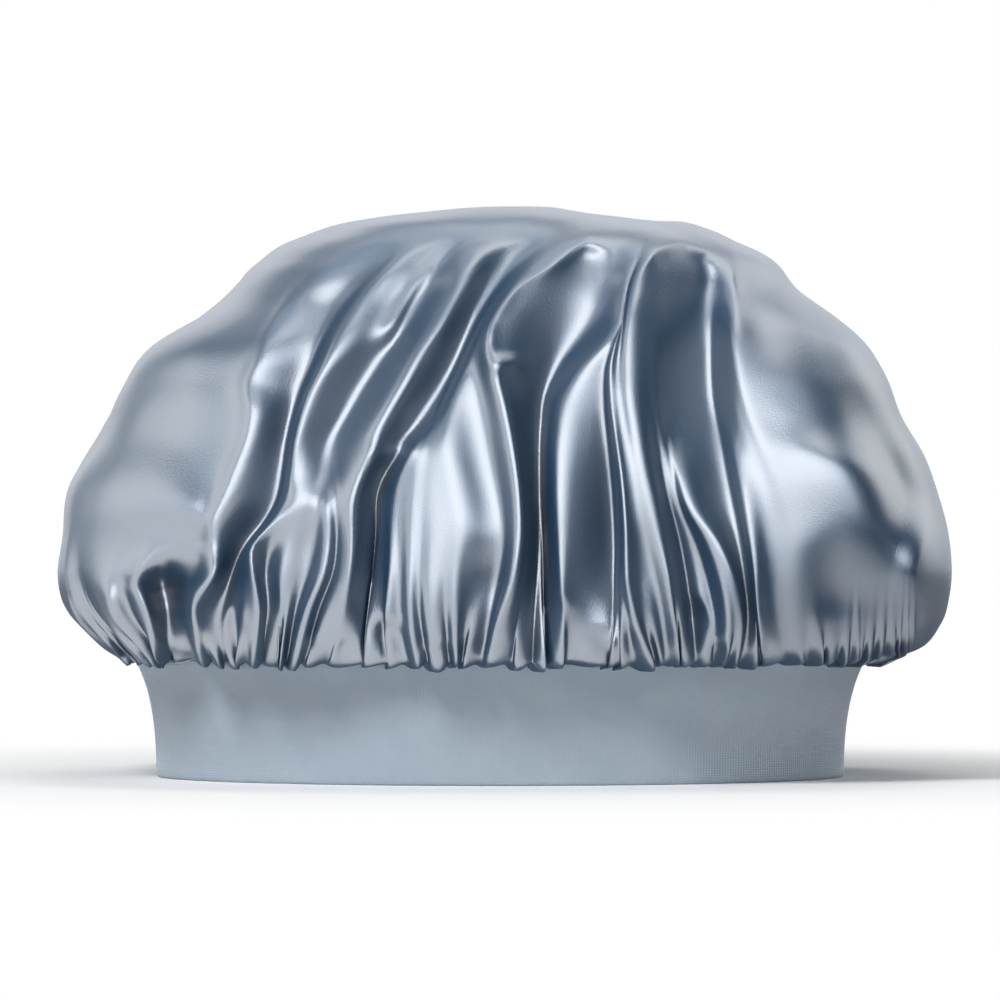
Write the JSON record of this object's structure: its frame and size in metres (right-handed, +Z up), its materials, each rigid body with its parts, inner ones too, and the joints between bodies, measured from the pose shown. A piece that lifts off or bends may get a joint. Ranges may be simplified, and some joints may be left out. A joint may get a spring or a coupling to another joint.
{
  "type": "hair bonnet",
  "caption": "Sleep bonnet: a puffed satin crown gathered onto a wide stretch-knit band with a hidden elastic and an overlocked seam; keeps hair covered on the head.",
  "frame": {"origin": "middle of the head opening, on the plane of the band's hem", "axes": "+X to the bonnet's right as seen from the front, along its width; +Y from front to back; +Z up from the hem to the top of the crown"},
  "size_m": [0.3, 0.2142, 0.1934],
  "materials": {
    "satin": "glossy blue-grey satin weave",
    "knit": "matte blue-grey stretch knit",
    "elastic": "white braided elastic",
    "thread": "blue-grey polyester overlock thread"
  },
  "bodies": {
    "root": {"crown": "satin", "band": "knit", "gather_elastic": "elastic", "overlock_binding": "thread"}
  },
  "joints": []
}
